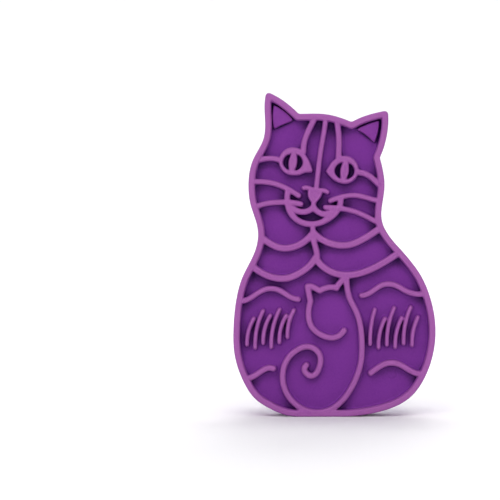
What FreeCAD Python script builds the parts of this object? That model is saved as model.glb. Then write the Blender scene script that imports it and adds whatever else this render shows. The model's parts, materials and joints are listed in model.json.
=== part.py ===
"""Cat-shaped rubber curry comb: a moulded pad with a raised line drawing on its face
and staggered flexible tines on its back.

Frame, in millimetres: +Z towards the ears, face towards -Y, tines towards +Y.
The origin is on the flat bottom edge that the comb stands on, half-way through the body.
"""
import FreeCAD, Part
import math
import os

from FreeCAD import Vector

# Overall body
BODY_DEPTH = 10.5          # face plane to back plane, without the tines
RELIEF_DEPTH = 3.0         # height of the rim above the pad
LINE_DROP = 0.2            # the drawn lines stay just below the rim, which takes the wear
INSET_DROP = 1.3           # insides of the ears, half-way down
NOSE_DISH = 0.3            # hollow in the nose pad
RIM_WIDTH = 2.1
BACK_EDGE_RADIUS = 0.6

FACE_Y = -BODY_DEPTH / 2.0
BACK_Y = FACE_Y + BODY_DEPTH
FLOOR_Y = FACE_Y + RELIEF_DEPTH
LINE_TOP_Y = FACE_Y + LINE_DROP
INSET_TOP_Y = FACE_Y + INSET_DROP

# Line widths
RIB = 1.9
FINE_RIB = 1.65
BIB_RIB = 2.2
WHISKER_RIB = 1.75
FUR_RIB = 1.3
OFFCUT_VOLUME = 2.0        # cubic mm; scraps that run past the line they end on

# Eyes: a round ring about a nearly round hole that sits a little low in it
EYE_RING_R = 4.75
EYE_HALF_WIDTH = 3.4
EYE_HALF_HEIGHT = 3.0
EYE_DROP = 0.35
PUPIL_HALF_WIDTH = 1.43
PUPIL_HALF_HEIGHT = 4.1
PUPIL_LEAN = 8.0

# Tines: a staggered field of round tapered rubber cones
TINE_LENGTH = 22.5
TINE_BASE_R = 4.2
TINE_TIP_R = 1.35
TINE_TIP_ROUND = 0.3
TINE_TOE = 0.9             # fillet between a tine and the pad
ROW_PITCH = 15.0
COLUMN_PITCH = 12.5
MIDDLE_COLUMN_X = -1.7
COLUMNS = {                # letter: (columns from the middle one, lowest tine's Z, tines)
    "a": (2, 15.0, 3),
    "b": (1, 7.5, 7),
    "c": (0, 15.0, 6),
    "d": (-1, 7.5, 7),
    "e": (-2, 15.0, 3),
}

# Each tine bends along its lower half: its finger turns about a point inside the cone
PIVOT_HEIGHT = 9.0
FOOT_R = 6.5
FOOT_GAP = 0.25


def xz(x, z, y=0.0):
    return Vector(x, y, z)


def curve(points, y=0.0):
    """Smooth curve through (X, Z) points, in the plane at depth y."""
    spline = Part.BSplineCurve()
    spline.interpolate([xz(x, z, y) for x, z in points])
    return spline


def segment(a, b):
    return Part.LineSegment(a, b).toShape()


def prism(wire, y_top, y_bottom):
    """Solid under a closed wire drawn at Y = 0, between two depths."""
    face = Part.Face(wire)
    solid = face.extrude(Vector(0, y_bottom - y_top, 0))
    solid.translate(Vector(0, y_top, 0))
    return solid


def rib(points, width, y_top=LINE_TOP_Y):
    """Raised line of constant width with round ends, along a smooth curve."""
    centre = curve(points)
    half = width / 2.0
    first = centre.FirstParameter
    span = centre.LastParameter - first
    count = 3 * len(points)
    sides = ([], [])
    for i in range(count + 1):
        t = first + span * i / count
        middle = centre.value(t)
        along = centre.tangent(t)[0]
        across = Vector(-along.z, 0, along.x).multiply(half)
        sides[0].append(middle + across)
        sides[1].append(middle - across)
    left = Part.BSplineCurve()
    left.interpolate(sides[0])
    right = Part.BSplineCurve()
    right.interpolate(sides[1])
    start = centre.value(first) - centre.tangent(first)[0].multiply(half)
    end = centre.value(first + span) + centre.tangent(first + span)[0].multiply(half)
    wire = Part.Wire([
        Part.Arc(sides[1][0], start, sides[0][0]).toShape(),
        left.toShape(),
        Part.Arc(sides[0][-1], end, sides[1][-1]).toShape(),
        right.toShape(),
    ])
    return prism(wire, y_top, FLOOR_Y)


def patch(points, y_top):
    """Raised area with a smooth closed edge through the points."""
    edge = Part.BSplineCurve()
    edge.interpolate([xz(x, z) for x, z in points], PeriodicFlag=True)
    return prism(Part.Wire(edge.toShape()), y_top, FLOOR_Y)


def ellipse_prism(x, z, half_width, half_height, y_top, lean=0.0):
    """Upright elliptic prism, leaning right by an angle in degrees."""
    disc = Part.makeCylinder(1.0, FLOOR_Y - y_top, xz(0, 0), Vector(0, 1, 0))
    stretch = FreeCAD.Matrix()
    stretch.scale(half_width, 1.0, half_height)
    disc = disc.transformGeometry(stretch)
    disc.rotate(xz(0, 0), Vector(0, 1, 0), lean)
    disc.translate(Vector(x, y_top, z))
    return disc


def fused(shapes):
    shape = shapes[0]
    if len(shapes) > 1:
        shape = shape.fuse(shapes[1:])
    return shape.removeSplitter()


# ---------------------------------------------------------------- body outline
FLAT_LEFT = (-11.0, 0.0)
FLAT_RIGHT = (4.0, 0.0)
LEFT_SIDE = [FLAT_LEFT, (-17.2, 0.8), (-22.3, 3.0), (-26.5, 5.8), (-31.0, 12.4), (-33.9, 21.7),
             (-34.2, 30.0), (-32.8, 42.0), (-30.9, 48.0), (-28.9, 51.9), (-26.5, 57.4),
             (-25.8, 62.0), (-26.4, 66.0), (-28.3, 71.8), (-29.1, 79.0), (-27.4, 87.7),
             (-24.0, 94.4), (-23.4, 99.0), (-23.6, 104.0), (-22.9, 110.5)]
LEFT_EAR_SLOPE = [(-22.9, 110.5), (-20.0, 109.2), (-14.2, 105.1), (-12.0, 103.0)]
HEAD_TOP = [(-12.0, 103.0), (-7.0, 103.1), (-2.9, 102.9), (0.9, 102.1), (6.0, 100.2)]
RIGHT_EAR_SLOPE = [(6.0, 100.2), (10.0, 102.1), (14.0, 103.3), (18.3, 104.2)]
RIGHT_EAR_SIDE = [(18.3, 104.2), (18.5, 100.9), (18.1, 96.4), (17.1, 92.0), (15.6, 88.1)]
RIGHT_SIDE = [(15.6, 88.1), (16.6, 84.0), (17.2, 78.5), (16.7, 74.0), (16.1, 69.0), (16.6, 65.5),
              (17.9, 62.8), (19.8, 60.1), (22.3, 57.3), (25.7, 53.4), (29.5, 48.1), (32.8, 40.3),
              (34.5, 31.0), (34.0, 22.8), (31.2, 14.0), (25.7, 6.4), (18.0, 2.4), (11.3, 0.8),
              FLAT_RIGHT]
CORNER_RADII = [            # corner of the outline, and how round the moulding is there
    ((-22.9, 110.5), 1.1),
    ((-12.0, 103.0), 0.8),
    ((6.0, 100.2), 1.6),
    ((18.3, 104.2), 1.2),
    ((15.6, 88.1), 1.0),
]


OUTLINE_RUNS = [LEFT_SIDE, LEFT_EAR_SLOPE, HEAD_TOP, RIGHT_EAR_SLOPE, RIGHT_EAR_SIDE,
                RIGHT_SIDE, [FLAT_RIGHT, FLAT_LEFT]]


def outline_edge(run):
    """Straight edge for a run of two points, so that the foot is a true flat; else a curve."""
    if len(run) == 2:
        return segment(xz(*run[0]), xz(*run[1]))
    return curve(run).toShape()


def outline_prism(y_top, y_bottom):
    wire = Part.Wire([outline_edge(run) for run in OUTLINE_RUNS])
    return round_corners(prism(wire, y_top, y_bottom))


def round_corners(solid):
    """Round the upright edges of a prism at the ear tips and the notches."""
    for (x, z), radius in CORNER_RADII:
        for edge in solid.Edges:
            ends = [vertex.Point for vertex in edge.Vertexes]
            upright = all(abs(p.x - x) < 0.01 and abs(p.z - z) < 0.01 for p in ends)
            if upright and len(ends) == 2:
                solid = solid.makeFillet(radius, [edge])
                break
    return solid


def make_pad():
    pad = outline_prism(FLOOR_Y, BACK_Y)
    back_edges = [edge for edge in pad.Edges
                  if all(abs(v.Point.y - BACK_Y) < 0.01 for v in edge.Vertexes)
                  and abs(edge.CenterOfMass.y - BACK_Y) < 0.01]
    return pad.makeFillet(BACK_EDGE_RADIUS, back_edges)


def make_rim():
    """Border of even width: the inner half of a broad band along the outline."""
    band = fused([rib(run, 2 * RIM_WIDTH, FACE_Y) for run in OUTLINE_RUNS])
    return band.common(outline_prism(FACE_Y, FLOOR_Y))


# ---------------------------------------------------------------- face drawing
def make_pupil(x, z):
    """Slit pupil between two arcs, with its points sunk in the eye ring."""
    top = xz(0, PUPIL_HALF_HEIGHT)
    bottom = xz(0, -PUPIL_HALF_HEIGHT)
    slit = prism(Part.Wire([
        Part.Arc(top, xz(PUPIL_HALF_WIDTH, 0), bottom).toShape(),
        Part.Arc(bottom, xz(-PUPIL_HALF_WIDTH, 0), top).toShape(),
    ]), LINE_TOP_Y, FLOOR_Y)
    slit.rotate(xz(0, 0), Vector(0, 1, 0), PUPIL_LEAN)
    slit.translate(xz(x, z))
    return slit


def make_eye(x, z, above, below):
    """Eye ring around a slit pupil; the curves above and below meet in its pointed inner corner."""
    disc = ellipse_prism(x, z, EYE_RING_R, EYE_RING_R, LINE_TOP_Y)
    hole = ellipse_prism(x, z - EYE_DROP, EYE_HALF_WIDTH, EYE_HALF_HEIGHT, LINE_TOP_Y)
    corner = prism(Part.Wire([
        curve(above).toShape(),
        curve(below).toShape(),
        segment(xz(*below[-1]), xz(*above[0])),
    ]), LINE_TOP_Y, FLOOR_Y)
    return fused([disc.fuse(corner).cut(hole), make_pupil(x, z - EYE_DROP)])


def make_ear_inset(points):
    """Flat triangle half-way down inside an ear, with a groove between it and the rim."""
    sides = [curve(side).toShape() for side in points]
    return prism(Part.Wire(sides), INSET_TOP_Y, FLOOR_Y)


def make_ear_insets():
    left = make_ear_inset([
        [(-20.6, 106.3), (-17.0, 104.2), (-15.1, 102.5), (-13.7, 100.7)],
        [(-13.7, 100.7), (-16.4, 99.8), (-18.2, 99.0), (-20.5, 97.8)],
        [(-20.5, 97.8), (-21.1, 102.0), (-20.6, 106.3)],
    ])
    right = make_ear_inset([
        [(7.4, 97.8), (11.1, 99.6), (15.5, 101.0)],
        [(15.5, 101.0), (15.2, 97.6), (13.8, 93.0)],
        [(13.8, 93.0), (10.3, 96.2), (7.4, 97.8)],
    ])
    return Part.makeCompound([left, right])


def make_nose():
    """Dished nose pad with two rolled wings."""
    wings = rib([(-10.3, 77.8), (-9.0, 77.9), (-7.5, 77.3), (-6.2, 77.0),
                 (-4.9, 77.0), (-3.6, 77.0), (-2.3, 76.4)], 1.5)
    body = patch([(-8.9, 76.6), (-8.8, 74.8), (-7.9, 73.2), (-6.8, 72.5), (-5.6, 73.4),
                  (-4.5, 74.8), (-4.1, 76.4), (-6.4, 77.2)], LINE_TOP_Y)
    dish = patch([(-8.1, 76.0), (-7.6, 74.4), (-6.7, 73.6), (-5.6, 74.6), (-5.1, 75.9),
                  (-6.5, 76.4)], LINE_TOP_Y)
    dish.translate(Vector(0, LINE_TOP_Y + NOSE_DISH - FLOOR_Y, 0))
    return fused([wings, body]).cut(dish)


def fur_tuft(x, z, length, lean):
    """One short curved hair stroke, rising from (x, z)."""
    return rib([(x, z), (x + 0.15 * lean, z + 0.45 * length), (x + lean, z + length)], FUR_RIB)


def make_fur_tufts(first_x, spacing, strokes):
    """Row of separate hair strokes; each is (foot height, length, lean)."""
    return Part.makeCompound([fur_tuft(first_x + spacing * i, z, length, lean)
                              for i, (z, length, lean) in enumerate(strokes)])


def make_kitten():
    """Small sitting kitten: ears, round face, back and curled tail."""
    ears = [
        [(-9.0, 44.3), (-7.8, 44.3), (-6.4, 43.7), (-4.9, 42.8)],
        [(-4.9, 42.8), (-3.2, 43.6), (-1.6, 44.0), (0.9, 43.7)],
        [(0.9, 43.7), (1.5, 44.9), (2.6, 46.1), (4.2, 47.4)],
    ]
    face = [
        [(-9.0, 44.3), (-8.6, 42.0), (-8.0, 39.1)],
        [(-8.0, 39.1), (-8.7, 35.2), (-7.8, 30.9), (-4.4, 27.8), (-0.5, 26.8), (3.4, 29.3)],
    ]
    back = [(4.3, 47.6), (4.5, 43.8), (5.5, 39.8), (7.4, 36.1), (9.0, 30.8), (9.5, 24.8),
            (9.2, 18.8), (7.1, 12.1), (2.9, 5.5), (-1.6, 2.2), (-7.2, 1.5), (-12.2, 3.5),
            (-15.9, 7.5), (-17.5, 13.3), (-16.2, 18.9), (-12.5, 22.7), (-8.2, 23.7),
            (-5.1, 21.4), (-4.9, 17.1), (-7.7, 13.8), (-9.9, 15.3), (-9.4, 17.5)]
    return fused([rib(path, RIB) for path in ears + face + [back]])


def make_relief():
    """Raised drawing, in the order in which later lines run into earlier ones."""
    return [
        ("ear_insets", make_ear_insets()),
        ("eye_left", make_eye(-14.0, 86.9,
                              [(-12.4, 91.3), (-9.7, 89.0), (-8.1, 86.2), (-7.3, 83.5)],
                              [(-7.3, 83.5), (-8.4, 83.1), (-9.6, 83.1), (-11.2, 82.5),
                               (-13.2, 82.2)])),
        ("eye_right", make_eye(3.6, 84.0,
                               [(1.9, 88.4), (0.7, 87.8), (-0.6, 86.8), (-1.8, 85.1),
                                (-2.8, 83.4)],
                               [(-2.8, 83.4), (-1.9, 82.3), (-0.9, 81.2), (0.8, 80.0),
                                (2.5, 79.4)])),
        ("nose", make_nose()),
        ("forehead_stripe_left", rib([(-6.5, 102.0), (-8.0, 98.7), (-9.2, 96.2), (-10.0, 93.9),
                                      (-10.4, 90.2)], RIB)),
        ("forehead_stripe_right", rib([(0.9, 101.5), (1.3, 98.6), (1.7, 94.0), (1.6, 89.7),
                                       (1.5, 87.5)], RIB)),
        ("nose_bridge", rib([(-2.8, 102.0), (-3.5, 96.3), (-4.3, 91.9), (-5.4, 83.5),
                             (-6.1, 77.0)], FINE_RIB)),
        ("cheek_line_left", rib([(-26.8, 86.8), (-24.8, 87.5), (-22.0, 87.9), (-19.8, 87.7),
                                 (-18.1, 87.1)], WHISKER_RIB)),
        ("cheek_line_right", rib([(7.5, 83.2), (9.3, 83.0), (11.2, 82.4), (13.2, 81.0),
                                  (15.8, 78.6)], RIB)),
        ("whisker_upper_left", rib([(-28.0, 79.9), (-24.0, 79.9), (-19.6, 79.1), (-15.1, 77.1),
                                    (-12.0, 75.2)], WHISKER_RIB)),
        ("whisker_lower_left", rib([(-27.2, 71.0), (-24.0, 72.3), (-19.6, 72.9), (-15.0, 72.9),
                                    (-11.3, 72.3)], WHISKER_RIB)),
        ("whisker_upper_right", rib([(-1.2, 73.5), (2.3, 74.7), (7.3, 75.3), (11.8, 74.3),
                                     (16.0, 73.2)], FINE_RIB)),
        ("whisker_lower_right", rib([(-2.9, 71.2), (2.6, 70.8), (7.3, 69.7), (11.8, 67.7),
                                     (15.6, 65.6)], FINE_RIB)),
        ("muzzle", rib([(-15.7, 77.0), (-15.9, 73.2), (-14.6, 69.0), (-11.2, 66.2),
                        (-7.2, 65.5), (-3.0, 66.7), (0.4, 69.2), (2.1, 72.2),
                        (2.2, 74.6)], RIB)),
        ("mouth", fused([
            rib([(-15.2, 71.3), (-13.0, 70.2), (-11.3, 69.7), (-9.4, 69.8), (-7.0, 71.4)], RIB),
            rib([(-7.0, 71.4), (-5.0, 69.4), (-3.5, 68.9), (-1.9, 69.1), (0.8, 69.9)], RIB),
            rib([(-6.9, 73.2), (-7.0, 70.9)], FINE_RIB),
        ])),
        ("chin_line", rib([(-7.2, 66.0), (-7.2, 62.0)], FINE_RIB)),
        ("bib_upper_left", rib([(-25.6, 61.8), (-21.8, 58.9), (-18.2, 57.4), (-13.8, 57.7),
                                (-9.8, 59.8), (-7.0, 62.8)], BIB_RIB)),
        ("bib_upper_right", rib([(-7.2, 62.8), (-3.5, 59.9), (0.4, 58.5), (4.8, 58.4),
                                 (9.2, 60.0), (16.5, 64.6)], BIB_RIB)),
        ("bib_centre", rib([(-7.1, 61.8), (-6.7, 59.0), (-6.1, 56.8), (-5.9, 53.6)], RIB)),
        ("bib_lower_left", rib([(-28.6, 52.2), (-25.6, 49.5), (-21.0, 47.4), (-16.0, 47.1),
                                (-11.6, 48.9), (-7.8, 51.9), (-6.2, 54.2)], BIB_RIB)),
        ("bib_lower_right", rib([(-6.2, 54.2), (-4.6, 51.8), (-0.6, 49.1), (4.3, 48.1),
                                 (9.6, 49.0), (16.4, 52.1), (22.8, 56.2)], BIB_RIB)),
        ("kitten", make_kitten()),
        ("fur_wave_upper_left", rib([(-32.6, 39.5), (-30.0, 39.6), (-26.7, 41.5), (-23.0, 43.4),
                                     (-19.0, 43.1), (-15.4, 41.0), (-12.2, 39.9)],
                                    WHISKER_RIB)),
        ("fur_wave_upper_right", rib([(9.4, 41.2), (12.9, 42.5), (16.3, 44.7), (20.6, 44.8),
                                      (24.5, 42.7), (28.2, 41.7), (31.6, 41.9)],
                                     WHISKER_RIB)),
        ("fur_wave_lower_left", rib([(-31.2, 12.7), (-28.2, 13.3), (-25.2, 15.1), (-22.5, 16.5),
                                     (-20.6, 16.3)], RIB)),
        ("fur_wave_lower_right", rib([(12.5, 14.8), (15.1, 16.7), (18.5, 18.2), (22.1, 17.8),
                                      (25.6, 15.8), (31.2, 14.8)], RIB)),
        ("fur_tufts_left", make_fur_tufts(-29.6, 2.75, [
            (24.4, 9.0, 2.3), (23.4, 12.6, 2.7), (25.0, 9.4, 2.4), (23.6, 12.8, 2.8),
            (25.2, 9.2, 2.3), (27.0, 9.2, 2.2)])),
        ("fur_tufts_right", make_fur_tufts(12.3, 2.85, [
            (24.6, 11.8, 1.6), (23.4, 10.0, 2.2), (24.4, 12.6, 2.5), (23.6, 10.0, 2.2),
            (24.8, 12.4, 2.4), (24.2, 9.6, 2.0)])),
    ]


def trim_relief(rim, features):
    """Cut every feature back to the rim and to the features listed before it."""
    inside = outline_prism(FACE_Y, FLOOR_Y)
    finished = [("rim", rim)]
    for name, shape in features:
        neighbours = [other for _, other in finished
                      if other.BoundBox.intersect(shape.BoundBox)]
        trimmed = shape.common(inside).cut(neighbours)
        kept = [solid for solid in trimmed.Solids if solid.Volume > OFFCUT_VOLUME]
        finished.append((name, Part.makeCompound(kept)))
    return finished


# ---------------------------------------------------------------- tines
def tine_radius(height):
    return TINE_BASE_R - (TINE_BASE_R - TINE_TIP_R) * height / TINE_LENGTH


def foot_height(sphere_r):
    """Height at which a sphere about the pivot meets the cone, on the pad side."""
    low, high = 0.0, PIVOT_HEIGHT
    for _ in range(40):
        middle = (low + high) / 2.0
        outside = math.hypot(tine_radius(middle), PIVOT_HEIGHT - middle) > sphere_r
        low, high = (middle, high) if outside else (low, middle)
    return low


def on_sphere(sphere_r, radius):
    """Point of the pad-side half of a sphere about the pivot, at a radius."""
    return Vector(radius, PIVOT_HEIGHT - math.sqrt(sphere_r ** 2 - radius ** 2), 0)


def revolved(edges):
    """Turn a half profile (radius along X, height along Y) about the tine's own axis."""
    face = Part.Face(Part.Wire(edges))
    return face.revolve(Vector(0, 0, 0), Vector(0, 1, 0), 360)


def make_root():
    """Fixed foot of a tine: a flared stub with a round cup in its end."""
    cup_r = FOOT_R + FOOT_GAP
    lip_height = foot_height(cup_r)
    lip_r = tine_radius(lip_height)
    lip = Vector(lip_r, lip_height, 0)
    toe_top = Vector(tine_radius(TINE_TOE), TINE_TOE, 0)
    toe_out = Vector(TINE_BASE_R + TINE_TOE, 0, 0)
    centre = Vector(toe_out.x, TINE_TOE, 0)
    toe_mid = centre + Vector(-1, -1, 0).normalize().multiply(TINE_TOE)
    axis_foot = Vector(0, 0, 0)
    cup_bottom = on_sphere(cup_r, 0.0)
    return revolved([
        segment(axis_foot, toe_out),
        Part.Arc(toe_out, toe_mid, toe_top).toShape(),
        segment(toe_top, lip),
        Part.Arc(lip, on_sphere(cup_r, lip_r / 2.0), cup_bottom).toShape(),
        segment(cup_bottom, axis_foot),
    ])


def make_finger():
    """Bending part of a tine: the cone, on a ball-shaped foot."""
    foot_top = foot_height(FOOT_R)
    foot_r = tine_radius(foot_top)
    shoulder = Vector(foot_r, foot_top, 0)
    foot_bottom = on_sphere(FOOT_R, 0.0)
    round_start = Vector(tine_radius(TINE_LENGTH - TINE_TIP_ROUND), TINE_LENGTH - TINE_TIP_ROUND, 0)
    tip_edge = Vector(round_start.x - TINE_TIP_ROUND, TINE_LENGTH, 0)
    round_centre = Vector(tip_edge.x, round_start.y, 0)
    round_mid = round_centre + Vector(1, 1, 0).normalize().multiply(TINE_TIP_ROUND)
    tip_centre = Vector(0, TINE_LENGTH, 0)
    return revolved([
        Part.Arc(foot_bottom, on_sphere(FOOT_R, foot_r / 2.0), shoulder).toShape(),
        segment(shoulder, round_start),
        Part.Arc(round_start, round_mid, tip_edge).toShape(),
        segment(tip_edge, tip_centre),
        segment(tip_centre, foot_bottom),
    ])


def tine_places():
    """Name and foot centre of every tine, column by column from the bottom."""
    places = []
    for letter, (steps, lowest, count) in COLUMNS.items():
        for row in range(count):
            place = Vector(MIDDLE_COLUMN_X + steps * COLUMN_PITCH, BACK_Y, lowest + row * ROW_PITCH)
            places.append((f"tine_{letter}{row + 1}", place))
    return places


def moved(shape, place):
    copy = shape.copy()
    copy.translate(place)
    return copy


def export(name, shape):
    shape.exportStep(f"parts/{name}.step")


os.makedirs("parts", exist_ok=True)
export("pad", make_pad())
for feature, feature_shape in trim_relief(make_rim(), make_relief()):
    export(feature, feature_shape)
root = make_root()
finger = make_finger()
export("tine_roots", Part.makeCompound([moved(root, place) for _, place in tine_places()]))
for tine, place in tine_places():
    export(tine, moved(finger, place))
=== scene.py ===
"""Cat-shaped rubber curry comb: one moulded skin and 26 flexible tines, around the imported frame.

The frame is in metres, with +Z towards the ears, the drawn face towards -Y and the tines
towards +Y. The skin and the tines are worked out in millimetres and stored in metres.
"""

import json
import math

import bpy
import numpy as np
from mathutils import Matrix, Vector


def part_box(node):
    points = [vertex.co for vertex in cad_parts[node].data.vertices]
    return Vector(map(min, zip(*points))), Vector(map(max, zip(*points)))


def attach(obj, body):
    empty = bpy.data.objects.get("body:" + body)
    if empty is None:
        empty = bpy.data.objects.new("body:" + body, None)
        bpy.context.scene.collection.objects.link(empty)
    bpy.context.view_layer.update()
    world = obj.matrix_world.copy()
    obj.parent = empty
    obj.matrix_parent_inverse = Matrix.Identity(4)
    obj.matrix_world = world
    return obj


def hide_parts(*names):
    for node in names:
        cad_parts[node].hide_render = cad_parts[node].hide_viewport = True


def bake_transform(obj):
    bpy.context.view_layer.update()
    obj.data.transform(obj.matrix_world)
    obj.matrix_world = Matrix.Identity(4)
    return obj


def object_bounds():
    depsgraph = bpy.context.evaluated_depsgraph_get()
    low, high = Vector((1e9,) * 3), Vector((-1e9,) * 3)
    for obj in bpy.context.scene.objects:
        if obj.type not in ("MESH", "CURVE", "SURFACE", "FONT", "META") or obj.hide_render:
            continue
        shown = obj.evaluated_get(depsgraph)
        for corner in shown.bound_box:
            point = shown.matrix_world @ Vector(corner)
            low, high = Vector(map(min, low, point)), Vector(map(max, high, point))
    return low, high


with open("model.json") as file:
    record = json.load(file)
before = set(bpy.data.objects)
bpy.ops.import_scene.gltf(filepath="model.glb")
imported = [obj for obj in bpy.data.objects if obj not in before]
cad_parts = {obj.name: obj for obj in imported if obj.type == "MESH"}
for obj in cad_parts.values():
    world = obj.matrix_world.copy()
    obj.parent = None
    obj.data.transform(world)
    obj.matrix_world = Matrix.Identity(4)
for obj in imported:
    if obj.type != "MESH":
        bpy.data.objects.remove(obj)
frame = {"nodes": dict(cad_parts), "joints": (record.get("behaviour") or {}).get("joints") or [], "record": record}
cad_low, cad_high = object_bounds()

MM = 0.001
BODY = "comb_body"

# ---------------------------------------------------------------- levels, from the frame, in mm
NODES = frame["nodes"]
BODY_NODES = frame["record"]["behaviour"]["bodies"][BODY]
FACE_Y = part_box("rim")[0].y / MM              # front of the rim
LINE_TOP_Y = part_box("kitten")[0].y / MM       # front of the drawn lines
NOSE_DISH = 0.3                               # depth of the hollow in the nose
NOSE_DISH_Y = LINE_TOP_Y + NOSE_DISH
INSET_TOP_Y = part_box("ear_insets")[0].y / MM  # front of the plates inside the ears
FLOOR_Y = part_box("pad")[0].y / MM             # bottom of the recess between the lines
BACK_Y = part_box("pad")[1].y / MM              # flat back, where the tines stand
TIP_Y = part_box("tine_a1")[1].y / MM
LINES = [n for n in BODY_NODES if n not in ("pad", "rim", "ear_insets", "tine_roots")]

# ---------------------------------------------------------------- softening of the shapes, in mm
PLAN_STEP = 0.1          # raster of the plan-view distances
PLAN_REACH = 3.0         # distances further than this from an edge don't matter
PLAN_MARGIN = 1.5        # the raster goes this far past the comb
CORNER_SOFTNESS = 0.25   # rounds the corners and webs between the lines, seen face on
SEAM_PROBE = 0.2         # an edge with line on both sides this far away is only a seam
LINE_ROUND = 0.82        # rounded shoulders of a line
RIM_ROUND = 0.68
OUTER_FRONT_ROUND = 0.5
OUTER_BACK_ROUND = 0.6
INSET_ROUND = 0.35
FLOOR_BLEND = 0.9        # reach of the fillet at the foot of a line
INSET_BLEND = 0.15
STEP_BLEND = 0.35        # and of the one where a line runs into the rim
INSET_GROOVE = 0.10      # widens the groove round the plates inside the ears
DISH_RUN = 0.7           # half the width of the slope at the edge of the hollow in the nose
DRAFT = math.tan(math.radians(2.5))

# Surface net: cells this big across the face, and as deep as the shape needs
CELL = 0.26
FINE_DEPTH = 0.15        # layers this thick near an edge
FINE_RUN = 0.9           # and this far along from it
COARSE_DEPTH = 0.8       # layers between
SLOPE_STEP = 0.02
LEAST_STEEPNESS = 0.5
SKIN_FACES = 195000
PANEL_SLACK = 0.06       # points this near the recess floor keep their even spacing, for the tone

# Tone of the body, which paints shade and highlight: 0 in the darkest painted shade of the pockets, 1 on the
# painted highlight along the back's edge
# Painted shade: the recess floor between the lines is painted darker and bluer than the lines' tops, the ear
# plates less so
PANEL_TONE = 0.4
INSET_TONE = 0.52
WALL_TONE = 0.7
SHOULDER_TONE = 0.80
CREST_TONE = 0.91        # painted highlight on the tops of the lines
CREST_START = 0.86       # they keep one colour from here
CREST_END = 0.96         # to here
# Tone of a tine, with painted shade at its root and a painted highlight on the rim of its tip: 1 on that rim
ROOT_TONE = 0.25
TINE_TONE = 0.82         # just under the tip
TINE_TONE_END = 0.90     # end of that colour

# Painted shade: a pocket is painted dark if raised parts take up much of its neighbourhood, or of a wider one
# above it, which stands for the shadow cast by the lines above
CROWDING_REACH = 1.1
CROWDING_RISE = 0.35
CROWDING_RANGE = (0.27, 0.62)
ROOF_REACH = 2.2
ROOF_RISE = 1.4
ROOF_RANGE = (0.2, 0.62)
# Where the tone changes, in mm
FULL_TONE_DEPTH = 0.7    # this far below a line's top, the tone is already the line's
CREST_HIGHLIGHT_RANGE = (0.15, 0.4)  # in from a line's edge, where its painted highlight comes in
FADE_RANGE = (0.4, 0.9)  # and where part of it is lost again
FADE_SHARE = 0.7
PLATE_RANGE = (0.1, 0.4)         # in from the edge of an ear's plate
WALL_RANGE = (-1.0, -0.2)        # across the comb's outline, which is at 0
BACK_EDGE_RANGE = (0.9, 0.3)     # in front of the back, where the back's edge gets a painted highlight
ROOT_RANGE = (-1.0, 9.0)         # above the pad, up a tine
UNDER_TIP = 1.0                  # below a tine's tip
TIP_RANGE = (0.55, 0.05)         # the same, for its rim

# Faint ring left by an ejector pin in the lower right panel
EJECTOR_XZ = (19.8, 14.2)
EJECTOR_R = 1.55
EJECTOR_RING = 0.22
EJECTOR_DEPTH = 0.07

# Painted shade: the flat back is a darker violet, the shade between the tines. On its rounded edge the violet ends
# between these depths
VIOLET_FULL = 0.03
VIOLET_START = 0.15

# ---------------------------------------------------------------- tines, in mm
TINE_BASE_R = 4.2
TINE_TIP_R = 1.35
TINE_TOE = 0.9           # fillet between a tine and the pad
TINE_SKIRT = 0.3         # the foot's flare ends this far outside the fillet
TINE_SUNK = 0.08         # and this far under the pad's surface
TIP_ROUND = 0.3
LIP_ROUND = 0.12         # edge of the dimple
DIMPLE_R = 0.78
DIMPLE_DEPTH = 0.4
DIMPLE_WAIST = 0.82      # the bowl is this much narrower than its lip
TINE_SIDES = 56
EDGE_MARGIN = 0.35       # a foot's flare stays this far inside the pad's outline
TRIM_ROUNDS = 4
TINE_LENGTH = TIP_Y - BACK_Y


# ================================================================ plan-view distances
def edges_at(name, level):
    """Outline of a node's flat face at depth `level`, as an (n, 4) array of x1, z1, x2, z2."""
    mesh = NODES[name].data
    mesh.calc_loop_triangles()
    points = np.empty(len(mesh.vertices) * 3)
    mesh.vertices.foreach_get("co", points)
    points = np.round(points.reshape(-1, 3) / MM, 3)
    triangles = np.empty(len(mesh.loop_triangles) * 3, int)
    mesh.loop_triangles.foreach_get("vertices", triangles)
    triangles = triangles.reshape(-1, 3)
    flat = (np.abs(points[triangles, 1] - level) < 0.002).all(axis=1)
    places, place_of = np.unique(points[:, (0, 2)], axis=0, return_inverse=True)
    corners = place_of.reshape(-1)[triangles[flat]]
    sides = np.concatenate([corners[:, (0, 1)], corners[:, (1, 2)], corners[:, (2, 0)]])
    sides = np.sort(sides, axis=1)
    sides, uses = np.unique(sides, axis=0, return_counts=True)
    border = sides[(uses == 1) & (sides[:, 0] != sides[:, 1])]
    return np.concatenate([places[border[:, 0]], places[border[:, 1]]], axis=1)


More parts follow.
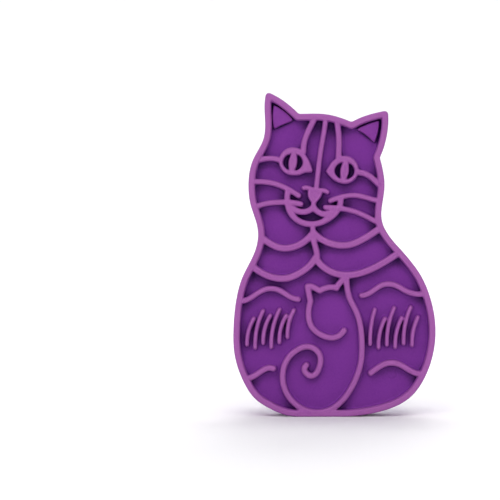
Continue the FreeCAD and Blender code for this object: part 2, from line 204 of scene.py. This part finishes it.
class Plan:
    """Signed distance to a plan-view shape, on a raster over the whole comb: below 0 inside."""
    x0 = cad_low.x / MM - PLAN_MARGIN
    z0 = cad_low.z / MM - PLAN_MARGIN
    xs = np.arange(x0, cad_high.x / MM + PLAN_MARGIN, PLAN_STEP)
    zs = np.arange(z0, cad_high.z / MM + PLAN_MARGIN, PLAN_STEP)

    def __init__(self, parts):
        """parts are edge arrays of shapes that may touch each other along seams."""
        inside = np.zeros((len(self.xs), len(self.zs)), bool)
        for edges in parts:
            inside |= self.filled(edges)
        edges = np.concatenate(parts)
        edges = edges[~self.seams(edges, inside)]
        distance = self.distance(edges)
        self.values = soften(np.where(inside, -distance, distance), CORNER_SOFTNESS / PLAN_STEP)

    @classmethod
    def filled(cls, edges):
        """Raster points inside closed outlines, by counting the crossings along X."""
        x1, z1, x2, z2 = edges.T
        crosses = (z1[None] <= cls.zs[:, None]) != (z2[None] <= cls.zs[:, None])
        row, edge = np.nonzero(crosses)
        share = (cls.zs[row] - z1[edge]) / (z2[edge] - z1[edge])
        x = x1[edge] + share * (x2[edge] - x1[edge])
        column = np.ceil((x - cls.x0) / PLAN_STEP).astype(int)
        count = np.zeros((len(cls.xs) + 1, len(cls.zs)), int)
        np.add.at(count, (column, row), 1)
        return np.cumsum(count, axis=0)[:-1] % 2 == 1

    @classmethod
    def seams(cls, edges, inside):
        """Which edges have the shape on both sides."""
        middle = (edges[:, :2] + edges[:, 2:]) / 2
        along = edges[:, 2:] - edges[:, :2]
        across = np.stack([-along[:, 1], along[:, 0]], 1) / np.linalg.norm(along, axis=1)[:, None]
        both = np.ones(len(edges), bool)
        for side in (-SEAM_PROBE, SEAM_PROBE):
            probe = middle + side * across
            i = np.round((probe[:, 0] - cls.x0) / PLAN_STEP).astype(int)
            j = np.round((probe[:, 1] - cls.z0) / PLAN_STEP).astype(int)
            both &= inside[i, j]
        return both

    @classmethod
    def distance(cls, edges):
        """Distance to the nearest edge, up to PLAN_REACH."""
        nearest = np.full((len(cls.xs), len(cls.zs)), PLAN_REACH)
        for x1, z1, x2, z2 in edges:
            i0, i1 = np.searchsorted(cls.xs, (min(x1, x2) - PLAN_REACH, max(x1, x2) + PLAN_REACH))
            j0, j1 = np.searchsorted(cls.zs, (min(z1, z2) - PLAN_REACH, max(z1, z2) + PLAN_REACH))
            dx, dz = x2 - x1, z2 - z1
            px = cls.xs[i0:i1, None] - x1
            pz = cls.zs[None, j0:j1] - z1
            t = np.clip((px * dx + pz * dz) / (dx * dx + dz * dz), 0, 1)
            window = nearest[i0:i1, j0:j1]
            np.minimum(window, np.hypot(px - t * dx, pz - t * dz), out=window)
        return nearest

    @classmethod
    def crowding(cls, plans, reach):
        """How much of the neighbourhood the shapes take up, from 0 to 1, as another plan."""
        taken = sum(np.clip(0.5 - plan.values / PLAN_STEP, 0, 1) for plan in plans)
        plan = object.__new__(cls)
        plan.values = soften(taken, reach / PLAN_STEP)
        return plan

    def at(self, x, z):
        """Distance at any points, between the raster's."""
        u = np.clip((x - self.x0) / PLAN_STEP, 0, len(self.xs) - 1.001)
        v = np.clip((z - self.z0) / PLAN_STEP, 0, len(self.zs) - 1.001)
        i, j = u.astype(int), v.astype(int)
        u, v = u - i, v - j
        a = self.values
        low = a[i, j] * (1 - u) + a[i + 1, j] * u
        high = a[i, j + 1] * (1 - u) + a[i + 1, j + 1] * u
        return low * (1 - v) + high * v


def soften(values, sigma):
    """Gaussian blur along both directions, which rounds corners and leaves straight edges alone."""
    reach = int(3 * sigma) + 1
    weights = np.exp(-0.5 * (np.arange(-reach, reach + 1) / sigma) ** 2)
    weights /= weights.sum()
    for axis, margins in enumerate([((reach, reach), (0, 0)), ((0, 0), (reach, reach))]):
        padded = np.pad(values, margins, mode="edge")
        length = values.shape[axis]
        values = sum(w * np.take(padded, range(k, k + length), axis=axis)
                     for k, w in enumerate(weights))
    return values


def smooth_step(values, start, stop):
    t = np.clip((values - start) / (stop - start), 0, 1)
    return t * t * (3 - 2 * t)


# ================================================================ the moulded solid
def blended(a, b, reach):
    """Union of two distances, with a fillet where they meet."""
    h = np.maximum(reach - np.abs(a - b), 0) / reach
    return np.minimum(a, b) - h * h * reach / 4


def raised(distance, y, top, rounding):
    """A raised shape with rounded shoulders and drafted sides, standing on any depth behind it."""
    across = distance - DRAFT * (y - top) + rounding
    above = top - y + rounding
    corner = np.hypot(np.maximum(across, 0), np.maximum(above, 0))
    return np.minimum(np.maximum(across, above), 0) + corner - rounding


def slab(distance, y):
    """The whole block: the outline between the rim's front and the back, with rounded edges."""
    rounding = np.where(y < (FACE_Y + BACK_Y) / 2, OUTER_FRONT_ROUND, OUTER_BACK_ROUND)
    across = distance + rounding
    beyond = np.maximum(FACE_Y - y, y - BACK_Y) + rounding
    corner = np.hypot(np.maximum(across, 0), np.maximum(beyond, 0))
    return np.minimum(np.maximum(across, beyond), 0) + corner - rounding


def ejector_ring(x, z):
    """Depth of the ejector pin's mark in the recess floor."""
    r = np.hypot(x - EJECTOR_XZ[0], z - EJECTOR_XZ[1])
    return EJECTOR_DEPTH * np.exp(-((r - EJECTOR_R) / EJECTOR_RING) ** 2)


class Moulding:
    """Signed distance to the body with its rim, drawn lines and ear plates."""

    def __init__(self):
        self.outline = Plan([edges_at("pad", FLOOR_Y)])
        rim_edges = edges_at("rim", FLOOR_Y)
        self.rim = Plan([rim_edges])
        self.lines = Plan([rim_edges] + [edges_at(n, FLOOR_Y) for n in LINES])
        self.insets = Plan([edges_at("ear_insets", FLOOR_Y)])
        self.dish = Plan([edges_at("nose", NOSE_DISH_Y)])
        self.plans = (self.outline, self.rim, self.lines, self.insets, self.dish)
        self.crowding = Plan.crowding((self.lines, self.insets), CROWDING_REACH)
        self.roofing = Plan.crowding((self.lines,), ROOF_REACH)

    def columns(self, x, z):
        """What doesn't change with depth: the plan distances and the height of the lines' tops."""
        outline, rim, lines, insets, dish = [plan.at(x, z) for plan in self.plans]
        line_top = LINE_TOP_Y + (NOSE_DISH_Y - LINE_TOP_Y) * smooth_step(-dish, -DISH_RUN, DISH_RUN)
        return outline, rim, lines, insets, line_top, FLOOR_Y + ejector_ring(x, z)

    def at(self, x, y, z):
        return self.solid(*self.columns(x, z), y)

    def on_grid(self, xs, ys, zs):
        """The same on a whole grid, with the plans looked up once per column."""
        x, z = np.meshgrid(xs, zs, indexing="ij")
        columns = [part.astype(np.float32) for part in self.columns(x, z)]
        return np.stack([self.solid(*columns, np.float32(y)) for y in ys], axis=1)

    @staticmethod
    def solid(outline, rim, lines, insets, line_top, floor, y):
        relief = blended(raised(lines, y, line_top, LINE_ROUND),
                         raised(rim, y, FACE_Y, RIM_ROUND), STEP_BLEND)
        relief = blended(relief, floor - y, FLOOR_BLEND)
        plates = raised(insets + INSET_GROOVE, y, INSET_TOP_Y, INSET_ROUND)
        return np.maximum(blended(relief, plates, INSET_BLEND), slab(outline, y))

    def slope(self, x, y, z):
        """Direction in which the distance grows, as unit vectors, and how fast."""
        step = SLOPE_STEP
        g = np.stack([self.at(x + step, y, z) - self.at(x - step, y, z),
                      self.at(x, y + step, z) - self.at(x, y - step, z),
                      self.at(x, y, z + step) - self.at(x, y, z - step)], 1)
        size = np.linalg.norm(g, axis=1)
        return g / np.maximum(size, 1e-9)[:, None], size / (2 * step)

    def settle(self, points, rounds):
        """Moves points that are near the surface onto it."""
        for _ in range(rounds):
            x, y, z = points.T
            direction, steepness = self.slope(x, y, z)
            shift = self.at(x, y, z) / np.maximum(steepness, LEAST_STEEPNESS)
            points = points - np.clip(shift, -CELL, CELL)[:, None] * direction
        return points


def depth_levels():
    """Depths of the net's layers: close together where the moulding has edges."""
    margin = 3 * FINE_DEPTH
    fine_runs = [(FACE_Y - margin, LINE_TOP_Y + FINE_RUN),
                 (FLOOR_Y - FINE_RUN, FLOOR_Y + margin),
                 (BACK_Y - FINE_RUN, BACK_Y + margin)]
    levels = []
    for start, stop in fine_runs:
        if levels:
            gap = start - levels[-1]
            count = max(1, round(gap / COARSE_DEPTH))
            levels += [levels[-1] + gap * k / count for k in range(1, count)]
        levels += list(np.linspace(start, stop, round((stop - start) / FINE_DEPTH) + 1))
    return np.array(levels)


CORNERS = [(i, j, k) for i in (0, 1) for j in (0, 1) for k in (0, 1)]
CELL_EDGES = [(a, b) for a in range(8) for b in range(a + 1, 8)
              if sum(abs(p - q) for p, q in zip(CORNERS[a], CORNERS[b])) == 1]


def surface_net(values, axes):
    """Closed quad mesh of a grid's zero level: a point per mixed cell, a quad per crossing."""
    inside = values < 0
    shape = np.array(values.shape)
    total = sum(inside[i:shape[0] - 1 + i, j:shape[1] - 1 + j, k:shape[2] - 1 + k].astype(np.int8)
                for i, j, k in CORNERS)
    mixed = (total > 0) & (total < 8)
    cells = np.argwhere(mixed)
    index = np.full(mixed.shape, -1)
    index[mixed] = np.arange(len(cells))

    corner_values = [values[tuple((cells + c).T)] for c in CORNERS]
    place, crossings = np.zeros((len(cells), 3)), np.zeros(len(cells))
    for a, b in CELL_EDGES:
        crossed = (corner_values[a] < 0) != (corner_values[b] < 0)
        gap = np.where(crossed, corner_values[a] - corner_values[b], 1)
        share = np.where(crossed, corner_values[a] / gap, 0)
        start, stop = np.array(CORNERS[a]), np.array(CORNERS[b])
        place += crossed[:, None] * (start + share[:, None] * (stop - start))
        crossings += crossed
    place /= crossings[:, None]
    points = np.stack([ax[cells[:, n]] + place[:, n] * (ax[cells[:, n] + 1] - ax[cells[:, n]])
                       for n, ax in enumerate(axes)], 1)

    quads = []
    for n in range(3):
        u, v = [(1, 2), (2, 0), (0, 1)][n]
        low = [slice(None)] * 3
        high = [slice(None)] * 3
        low[n], high[n] = slice(None, -1), slice(1, None)
        change = inside[tuple(low)].astype(np.int8) - inside[tuple(high)].astype(np.int8)
        where = np.argwhere(change != 0)
        step_u, step_v = np.eye(3, dtype=int)[u], np.eye(3, dtype=int)[v]
        ring = [where, where - step_u, where - step_u - step_v, where - step_v]
        quad = np.stack([index[tuple(r.T)] for r in ring], 1)
        leaving = change[tuple(where.T)] > 0
        quad[~leaving] = quad[~leaving][:, ::-1]
        quads.append(quad)
    return points, np.concatenate(quads)


# ================================================================ meshes
def mesh_object(name, points, *face_groups):
    """Object from points in mm and (n, 3) or (n, 4) arrays of faces."""
    corners = np.concatenate([faces.ravel() for faces in face_groups])
    sides = np.concatenate([np.full(len(faces), faces.shape[1]) for faces in face_groups])
    mesh = bpy.data.meshes.new(name)
    mesh.vertices.add(len(points))
    mesh.vertices.foreach_set("co", (points * MM).astype(np.float32).ravel())
    mesh.loops.add(len(corners))
    mesh.loops.foreach_set("vertex_index", corners.astype(np.int32))
    mesh.polygons.add(len(sides))
    mesh.polygons.foreach_set("loop_start", (np.cumsum(sides) - sides).astype(np.int32))
    mesh.polygons.foreach_set("use_smooth", np.ones(len(sides), bool))
    mesh.update()
    mesh.validate()
    thing = bpy.data.objects.new(name, mesh)
    bpy.context.scene.collection.objects.link(thing)
    return thing


def points_of(mesh):
    points = np.empty(len(mesh.vertices) * 3)
    mesh.vertices.foreach_get("co", points)
    return points.reshape(-1, 3) / MM


def set_points(mesh, points):
    mesh.vertices.foreach_set("co", (points * MM).astype(np.float32).ravel())
    mesh.update()


def set_tone(mesh, values):
    """Per-point shade of the rubber, from 0 to 1, which the material's ramp colours."""
    tone = mesh.attributes.new("tone", "FLOAT", "POINT")
    tone.data.foreach_set("value", values.astype(np.float32))


def thinned(thing, face_count, chosen):
    """The same object with fewer triangles, taken out where the chosen points lie flattest."""
    group = thing.vertex_groups.new(name="thin")
    group.add(np.flatnonzero(chosen).tolist(), 1.0, "REPLACE")
    modifier = thing.modifiers.new("thin", "DECIMATE")
    modifier.vertex_group = group.name
    triangles = 2 * len(thing.data.polygons)
    modifier.ratio = min(1.0, face_count / triangles)
    modifier.use_collapse_triangulate = True
    evaluated = thing.evaluated_get(bpy.context.evaluated_depsgraph_get())
    mesh = bpy.data.meshes.new_from_object(evaluated)
    thing.modifiers.clear()
    thing.vertex_groups.clear()
    thing.data = mesh


def skin_tone(moulding, points):
    """Painted shade and highlight: pockets are painted dark, open panels a deep painted shade, and the lines and
    the back's edge light.
    """
    x, y, z = points.T
    height = smooth_step(-y, -FLOOR_Y, -LINE_TOP_Y - FULL_TONE_DEPTH)
    # painted shade in narrow pockets and under the lines
    crowding = moulding.crowding.at(x, z + CROWDING_RISE)
    roofing = moulding.roofing.at(x, z + ROOF_RISE)
    pocket = np.maximum(smooth_step(crowding, *CROWDING_RANGE), smooth_step(roofing, *ROOF_RANGE))
    # painted highlight along the tops of the lines, brightest just in from their edges
    inward = -moulding.lines.at(x, z)
    crest_highlight = smooth_step(inward, *CREST_HIGHLIGHT_RANGE) - FADE_SHARE * smooth_step(inward, *FADE_RANGE)
    line = SHOULDER_TONE + (CREST_TONE - SHOULDER_TONE) * crest_highlight
    # painted shade: the recess floor is darker than the lines, by depth, and darker still in pockets
    face = PANEL_TONE * (1 - pocket) * (1 - height) + line * height
    face += (INSET_TONE - face) * smooth_step(-moulding.insets.at(x, z), *PLATE_RANGE)
    wall = smooth_step(moulding.outline.at(x, z), *WALL_RANGE)
    # painted highlight along the rounded edge of the back
    edge_start, edge_stop = BACK_EDGE_RANGE
    back_edge_highlight = wall * smooth_step(y, BACK_Y - edge_start, BACK_Y - edge_stop)
    return np.maximum.reduce([face, WALL_TONE * wall, back_edge_highlight])


def make_skin(moulding):
    xs = np.arange(cad_low.x / MM - 3 * CELL, cad_high.x / MM + 3 * CELL, CELL)
    zs = np.arange(cad_low.z / MM - 3 * CELL, cad_high.z / MM + 3 * CELL, CELL)
    ys = depth_levels()
    points, quads = surface_net(moulding.on_grid(xs, ys, zs), (xs, ys, zs))
    points = moulding.settle(points, 3)
    skin = mesh_object("moulded_body", points, quads)
    thinned(skin, SKIN_FACES, np.abs(points[:, 1] - FLOOR_Y) > PANEL_SLACK)
    points = moulding.settle(points_of(skin.data), 1)
    set_points(skin.data, points)
    skin.data.polygons.foreach_set("use_smooth", np.ones(len(skin.data.polygons), bool))
    skin.data.normals_split_custom_set_from_vertices(moulding.slope(*points.T)[0].tolist())
    set_tone(skin.data, skin_tone(moulding, points))
    return skin


# ================================================================ tines
def arc(centre, radius, start, stop, count):
    """Points (radius, height) along an arc, angles in degrees from outwards towards the tip."""
    angles = np.radians(np.linspace(start, stop, count))
    return [(centre[0] + radius * math.cos(a), centre[1] + radius * math.sin(a)) for a in angles]


def tine_profile():
    """Half profile from the flare at the pad to the dimple in the tip."""
    def cone(height):
        return TINE_BASE_R - (TINE_BASE_R - TINE_TIP_R) * height / TINE_LENGTH

    toe = TINE_BASE_R + TINE_TOE
    shoulder = TINE_LENGTH - TIP_ROUND
    lip_height = TINE_LENGTH - LIP_ROUND
    skirt = [(toe + TINE_SKIRT, -TINE_SUNK)]
    flare = arc((toe, TINE_TOE), TINE_TOE, 270, 187, 8)
    side = [(cone(h), h) for h in np.linspace(TINE_TOE + 0.6, shoulder - 0.3, 22)]
    tip = arc((TINE_TIP_R - TIP_ROUND, shoulder), TIP_ROUND, 5, 90, 6)
    lip = arc((DIMPLE_R, lip_height), LIP_ROUND, 75, 180, 4)
    bowl = [(DIMPLE_R * math.sin(a) * DIMPLE_WAIST, lip_height - DIMPLE_DEPTH * math.cos(a))
            for a in np.radians([72, 54, 36, 18])]
    return skirt + flare + side + tip + lip + bowl


def make_tine(name, foot, outline):
    """One tine as a turned cone at `foot` (X and Z), kept inside the pad's outline."""
    profile = np.array(tine_profile())
    turn = np.linspace(0, 2 * math.pi, TINE_SIDES, endpoint=False)
    rings = len(profile)
    x = foot[0] + np.outer(profile[:, 0], np.cos(turn))
    z = foot[1] + np.outer(profile[:, 0], np.sin(turn))
    for _ in range(TRIM_ROUNDS):
        over = np.maximum(outline.at(x, z) + EDGE_MARGIN, 0)
        share = over / np.hypot(x - foot[0], z - foot[1])
        x, z = x - share * (x - foot[0]), z - share * (z - foot[1])
    y = BACK_Y + np.repeat(profile[:, 1:], TINE_SIDES, axis=1)
    points = np.stack([x, y, z], 2).reshape(-1, 3)
    deepest = [foot[0], TIP_Y - LIP_ROUND - DIMPLE_DEPTH, foot[1]]
    points = np.vstack([points, deepest])
    k = np.arange(TINE_SIDES)
    after = (k + 1) % TINE_SIDES
    quads = [np.stack([r * TINE_SIDES + k, (r + 1) * TINE_SIDES + k,
                       (r + 1) * TINE_SIDES + after, r * TINE_SIDES + after], 1)
             for r in range(rings - 1)]
    last = (rings - 1) * TINE_SIDES
    cap = np.stack([last + k, np.full(TINE_SIDES, len(points) - 1), last + after], 1)
    tine = mesh_object(name, points, np.concatenate(quads), cap)
    # painted shade darkest at a tine's root and lighter up it, and a painted highlight on the rim of the tip
    height = points[:, 1] - BACK_Y
    tip_start, tip_stop = TIP_RANGE
    tone = ROOT_TONE + (WALL_TONE - ROOT_TONE) * smooth_step(height, *ROOT_RANGE)
    tone += (TINE_TONE - WALL_TONE) * smooth_step(height, ROOT_RANGE[1], TINE_LENGTH - UNDER_TIP)
    tone += (1 - TINE_TONE) * smooth_step(height, TINE_LENGTH - tip_start, TINE_LENGTH - tip_stop)
    set_tone(tine.data, tone)
    return tine


# ================================================================ materials
CLOUD = (90.0, 3.0)      # scale and detail of each noise
SPECK = (1400.0, 2.0)
GRAIN = (3200.0, 2.0)
WAVES = (420.0, 2.0)
NOISE_RANGE = (0.3, 0.7)
CLOUD_TONE = 0.025
SPECK_TONE = 0.03
ROUGHNESS_RANGE = (0.36, 0.50)
SPECULAR = 0.2
SPECULAR_TINT = (0.85, 0.50, 1.0, 1)


def rubber(name, colours, back_shade_colour=None):
    """Satin moulded rubber: (tone, colour) stops, and a painted shade colour for the flat back if it has one."""
    material = bpy.data.materials.new(name)
    material.use_nodes = True
    nodes, links = material.node_tree.nodes, material.node_tree.links
    shader = nodes["Principled BSDF"]
    place = nodes.new("ShaderNodeTexCoord")

    def noise(scale, detail):
        made = nodes.new("ShaderNodeTexNoise")
        made.inputs["Scale"].default_value = scale
        made.inputs["Detail"].default_value = detail
        links.new(place.outputs["Object"], made.inputs["Vector"])
        return made.outputs["Fac"]

    def ranged(value, source, target):
        made = nodes.new("ShaderNodeMapRange")
        for socket, number in zip(("From Min", "From Max", "To Min", "To Max"), source + target):
            made.inputs[socket].default_value = number
        links.new(value, made.inputs["Value"])
        return made.outputs["Result"]

    def added(a, b):
        made = nodes.new("ShaderNodeMath")
        made.operation = "ADD"
        links.new(a, made.inputs[0])
        links.new(b, made.inputs[1])
        return made.outputs["Value"]

    def bump(height, strength, depth):
        made = nodes.new("ShaderNodeBump")
        made.inputs["Strength"].default_value = strength
        made.inputs["Distance"].default_value = depth * MM
        links.new(height, made.inputs["Height"])
        return made

    cloud = noise(*CLOUD)
    speck = noise(*SPECK)
    grain = noise(*GRAIN)
    tone = nodes.new("ShaderNodeAttribute")
    tone.attribute_name = "tone"
    mottled = added(tone.outputs["Fac"], ranged(cloud, NOISE_RANGE, (-CLOUD_TONE, CLOUD_TONE)))
    mottled = added(mottled, ranged(speck, NOISE_RANGE, (-SPECK_TONE, SPECK_TONE)))

    ramp = nodes.new("ShaderNodeValToRGB")
    stops = ramp.color_ramp.elements
    while len(stops) < len(colours):
        stops.new(0.5)
    for stop, (position, colour) in zip(stops, colours):
        stop.position = position
        stop.color = (*colour, 1)
    links.new(mottled, ramp.inputs["Fac"])
    colour = ramp.outputs["Color"]
    # painted shade: the flat back turns violet
    if back_shade_colour:
        depth = nodes.new("ShaderNodeSeparateXYZ")
        tinted = nodes.new("ShaderNodeMixRGB")
        links.new(place.outputs["Object"], depth.inputs["Vector"])
        violet_depths = ((BACK_Y - VIOLET_START) * MM, (BACK_Y - VIOLET_FULL) * MM)
        links.new(ranged(depth.outputs["Y"], violet_depths, (0, 1)), tinted.inputs["Fac"])
        links.new(colour, tinted.inputs["Color1"])
        tinted.inputs["Color2"].default_value = (*back_shade_colour, 1)
        colour = tinted.outputs["Color"]
    links.new(colour, shader.inputs["Base Color"])

    links.new(ranged(speck, NOISE_RANGE, ROUGHNESS_RANGE), shader.inputs["Roughness"])
    shader.inputs["Specular IOR Level"].default_value = SPECULAR
    shader.inputs["Specular Tint"].default_value = SPECULAR_TINT

    fine = bump(grain, 0.25, 0.02)
    wavy = bump(noise(*WAVES), 0.3, 0.05)
    links.new(fine.outputs["Normal"], wavy.inputs["Normal"])
    links.new(wavy.outputs["Normal"], shader.inputs["Normal"])
    return material


# painted shade in the darkest pockets
POCKET_SHADE_PURPLE = (0.012, 0.0004, 0.042)
# painted shade of the recess floor, and lighter on the ear plates
PANEL_SHADE_PURPLE = (0.186, 0.031, 0.290)
INSET_PURPLE = (0.215, 0.040, 0.295)
WALL_PURPLE = (0.27, 0.065, 0.31)
SHOULDER_PURPLE = (0.300, 0.078, 0.335)
# painted highlight on the tops of the lines
CREST_HIGHLIGHT_PURPLE = (0.352, 0.106, 0.365)
# painted highlight on the back's edge
EDGE_HIGHLIGHT_PURPLE = (0.50, 0.20, 0.48)
# painted shade on the flat back
BACK_SHADE_VIOLET = (0.130, 0.030, 0.285)
# painted shade at a tine's root, and the painted highlight on the rim of its tip below
TINE_ROOT_SHADE_VIOLET = (0.120, 0.028, 0.290)
TINE_SIDE_VIOLET = (0.262, 0.069, 0.374)
TINE_END_PURPLE = (0.340, 0.105, 0.400)
TIP_HIGHLIGHT_PURPLE = (0.62, 0.30, 0.60)
body_colours = [(0.0, POCKET_SHADE_PURPLE), (PANEL_TONE, PANEL_SHADE_PURPLE), (INSET_TONE, INSET_PURPLE),
                (WALL_TONE, WALL_PURPLE), (SHOULDER_TONE, SHOULDER_PURPLE),
                (CREST_START, CREST_HIGHLIGHT_PURPLE), (CREST_END, CREST_HIGHLIGHT_PURPLE), (1.0, EDGE_HIGHLIGHT_PURPLE)]
tine_colours = [(ROOT_TONE, TINE_ROOT_SHADE_VIOLET), (WALL_TONE, TINE_SIDE_VIOLET),
                (TINE_TONE, TINE_END_PURPLE), (TINE_TONE_END, TINE_END_PURPLE), (1.0, TIP_HIGHLIGHT_PURPLE)]
body_rubber = rubber("moulded_rubber", body_colours, BACK_SHADE_VIOLET)
tine_rubber = rubber("tine_rubber", tine_colours)


# ================================================================ the comb
moulding = Moulding()
skin = make_skin(moulding)
skin.data.materials.append(body_rubber)
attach(skin, BODY)
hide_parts(*BODY_NODES)

for joint in frame["joints"]:
    finger = joint["child"]
    node = frame["record"]["behaviour"]["bodies"][finger][0]
    pivot = Vector(joint["pos_m"])
    foot = (pivot.x / MM, pivot.z / MM)
    tine = make_tine(node.replace("tine_", "flexible_tine_"), foot, moulding.outline)
    tine.data.materials.append(tine_rubber)
    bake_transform(tine)
    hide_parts(node)


# ================================================================ stage, light and camera
FACE_WIDTH_IN_VIEW = 0.1698      # metres of the face plane across the 500-pixel frame
CAMERA_DISTANCE = 0.45
CAMERA_HEIGHT = 0.0567
SENSOR = 36.0
SIDE_SHIFT = -0.168              # the comb stands right of the middle of the frame
FLAT_RADIUS = 0.9                # metres of flat floor, before it curves up
COVE_RADIUS = 0.5
WALL_HEIGHT = 2.2
FLOOR_SIDES = 64


def plain(name, colour, roughness):
    material = bpy.data.materials.new(name)
    material.use_nodes = True
    shader = material.node_tree.nodes["Principled BSDF"]
    shader.inputs["Base Color"].default_value = (*colour, 1)
    shader.inputs["Roughness"].default_value = roughness
    shader.inputs["Specular IOR Level"].default_value = SPECULAR
    return material


def make_floor():
    """Pale floor that curves up into a wall all round the comb, far away."""
    flat = [(radius, 0.0) for radius in np.linspace(0.02, FLAT_RADIUS, 6)]
    cove = [(FLAT_RADIUS + COVE_RADIUS * math.sin(a), COVE_RADIUS * (1 - math.cos(a)))
            for a in np.radians(range(10, 91, 10))]
    profile = flat + cove + [(FLAT_RADIUS + COVE_RADIUS, WALL_HEIGHT)]
    turn = np.linspace(0, 2 * math.pi, FLOOR_SIDES, endpoint=False)
    points = [[0.0, 0.0, 0.0]]
    for radius, rise in profile:
        points += [[radius * math.cos(a), radius * math.sin(a), rise] for a in turn]
    k = np.arange(FLOOR_SIDES)
    after = (k + 1) % FLOOR_SIDES
    centre = np.stack([np.zeros(FLOOR_SIDES, int), 1 + k, 1 + after], 1)
    rings = [np.stack([low + k, low + FLOOR_SIDES + k, low + FLOOR_SIDES + after, low + after], 1)
             for low in range(1, 1 + (len(profile) - 1) * FLOOR_SIDES, FLOOR_SIDES)]
    floor = mesh_object("studio_floor", np.array(points) / MM, centre, np.concatenate(rings))
    floor.data.materials.append(plain("pale_floor", (0.93, 0.93, 0.94), 0.7))


def area_light(name, place, target, size, power, colour):
    data = bpy.data.lights.new(name, "AREA")
    data.shape = "RECTANGLE"
    data.size, data.size_y = size
    data.energy = power
    data.color = colour
    light = bpy.data.objects.new(name, data)
    light.location = place
    light.rotation_euler = (Vector(target) - Vector(place)).to_track_quat("-Z", "Y").to_euler()
    bpy.context.scene.collection.objects.link(light)


make_floor()
middle = (0.0, 0.0, 0.055)
area_light("overhead", (0.0, -0.75, 1.15), middle, (1.2, 0.8), 7.0, (1.0, 0.99, 0.98))
area_light("key", (-0.45, -0.70, 0.55), middle, (0.5, 0.5), 0.9, (1.0, 0.97, 0.93))
area_light("wall_wash", (0.0, 0.35, 1.3), (0.0, 1.3, 0.25), (1.6, 0.4), 8.0, (1.0, 1.0, 1.0))
area_light("back_key", (0.10, 0.85, 0.85), middle, (0.6, 0.6), 4.0, (1.0, 0.97, 0.95))

world = bpy.data.worlds.new("studio")
world.use_nodes = True
world.node_tree.nodes["Background"].inputs["Color"].default_value = (0.84, 0.88, 1.0, 1)
world.node_tree.nodes["Background"].inputs["Strength"].default_value = 0.145
bpy.context.scene.world = world
bpy.context.scene.view_settings.view_transform = "Standard"

camera_data = bpy.data.cameras.new("camera")
camera_data.sensor_width = SENSOR
camera_data.lens = SENSOR * CAMERA_DISTANCE / FACE_WIDTH_IN_VIEW
camera_data.shift_x = SIDE_SHIFT
camera = bpy.data.objects.new("camera", camera_data)
camera.location = (0.0, FACE_Y * MM - CAMERA_DISTANCE, CAMERA_HEIGHT)
camera.rotation_euler = (math.radians(90), 0, 0)
bpy.context.scene.collection.objects.link(camera)
bpy.context.scene.camera = camera
